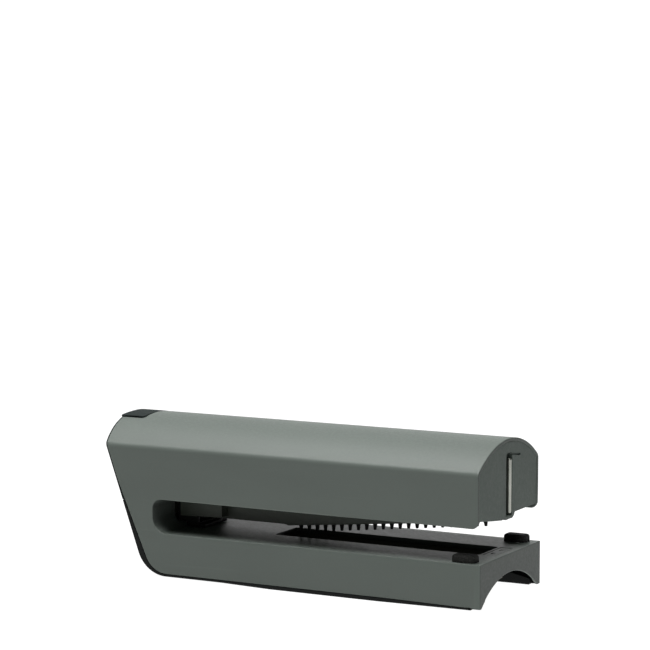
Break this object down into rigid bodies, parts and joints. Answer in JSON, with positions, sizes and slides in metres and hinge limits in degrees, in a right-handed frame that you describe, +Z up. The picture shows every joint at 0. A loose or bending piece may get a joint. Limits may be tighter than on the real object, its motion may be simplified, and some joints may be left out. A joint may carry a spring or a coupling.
{
  "type": "stapler",
  "caption": "Desk stapler with a low C-shaped grey casing, a long open throat, a toothed presser strip over a trough, a black underside and rubber bumpers.",
  "frame": {"origin": "middle of the footprint, on the surface it stands on", "axes": "+X to the open front, +Y to its left side, +Z up"},
  "size_m": [0.184, 0.062, 0.0678],
  "materials": {
    "grey_casing": "satin, fine moulded texture",
    "dark_grey_plastic": "matte moulded",
    "black_plastic": "satin moulded",
    "black_rubber": "matte rubber",
    "bright_steel": "drawn and polished",
    "zinc_plated_steel": "zinc plated sheet",
    "black_steel": "black oxide sheet",
    "grey_plated_steel": "satin nickel plate"
  },
  "bodies": {
    "base": {"casing_base": "grey_casing", "bottom_cover": "black_plastic", "trough_liner": "black_plastic", "anvil_plate": "grey_plated_steel", "hinge_bracket": "black_steel", "presser_pin": "bright_steel", "presser_pin_clip": "bright_steel", "bumper_right": "black_rubber", "neck_spring_right": "zinc_plated_steel", "bracket_screw_right": "bright_steel", "cover_screw_rear_right": "bright_steel", "foot_pad_rear_right": "black_rubber", "cover_screw_front_right": "bright_steel", "foot_pad_front_right": "black_rubber", "bumper_left": "black_rubber", "neck_spring_left": "zinc_plated_steel", "bracket_screw_left": "bright_steel", "cover_screw_rear_left": "bright_steel", "foot_pad_rear_left": "black_rubber", "cover_screw_front_left": "bright_steel", "foot_pad_front_left": "black_rubber"},
    "press_arm": {"casing_arm": "grey_casing", "rear_end_cap": "black_plastic", "front_plate": "dark_grey_plastic", "guide_rod": "bright_steel", "arm_chassis": "black_plastic", "magazine_channel": "zinc_plated_steel", "staple_rail": "zinc_plated_steel", "staple_strip": "bright_steel", "pusher_spring": "bright_steel", "presser_leaf_spring": "zinc_plated_steel", "lever_bracket": "black_steel", "lever_pin": "bright_steel"},
    "presser": {"presser_arm": "black_plastic", "toothed_strip": "black_plastic"},
    "lever": {"driver_lever": "black_steel", "lever_foot": "bright_steel"},
    "driver": {"driver_blade": "bright_steel"},
    "staple_pusher": {"pusher": "black_plastic"}
  },
  "joints": [
    {"name": "press", "type": "hinge", "parent": "base", "child": "press_arm", "pos_m": [-0.071, 0, 0.027], "axis": [0, 1, 0], "range_deg": [0, 4.1], "stiffness_Nm_per_rad": 8, "springref_deg": -2.86, "deforming": ["neck_spring_right", "neck_spring_left"]},
    {"name": "presser_swing", "type": "hinge", "parent": "base", "child": "presser", "pos_m": [-0.058, 0, 0.026], "axis": [0, 1, 0], "range_deg": [0, 3.51], "deforming": ["presser_leaf_spring"]},
    {"name": "lever_turn", "type": "hinge", "parent": "press_arm", "child": "lever", "pos_m": [-0.046, 0, 0.053], "axis": [0, 1, 0], "range_deg": [0, 5.81]},
    {"name": "driver_drop", "type": "slide", "parent": "press_arm", "child": "driver", "axis": [0, 0, -1], "range_m": [0, 0.01336]},
    {"name": "pusher_slide", "type": "slide", "parent": "press_arm", "child": "staple_pusher", "axis": [-1, 0, 0], "range_m": [0, 0.034], "stiffness_N_per_m": 40, "springref_m": -0.03, "deforming": ["pusher_spring"]}
  ],
  "couplings": [
    {"joint": "presser_swing", "follows": "press", "ratio": 0.85609},
    {"joint": "lever_turn", "follows": "press", "ratio": 1.4166},
    {"joint": "driver_drop", "follows": "press", "m_per_rad": 0.1867}
  ]
}
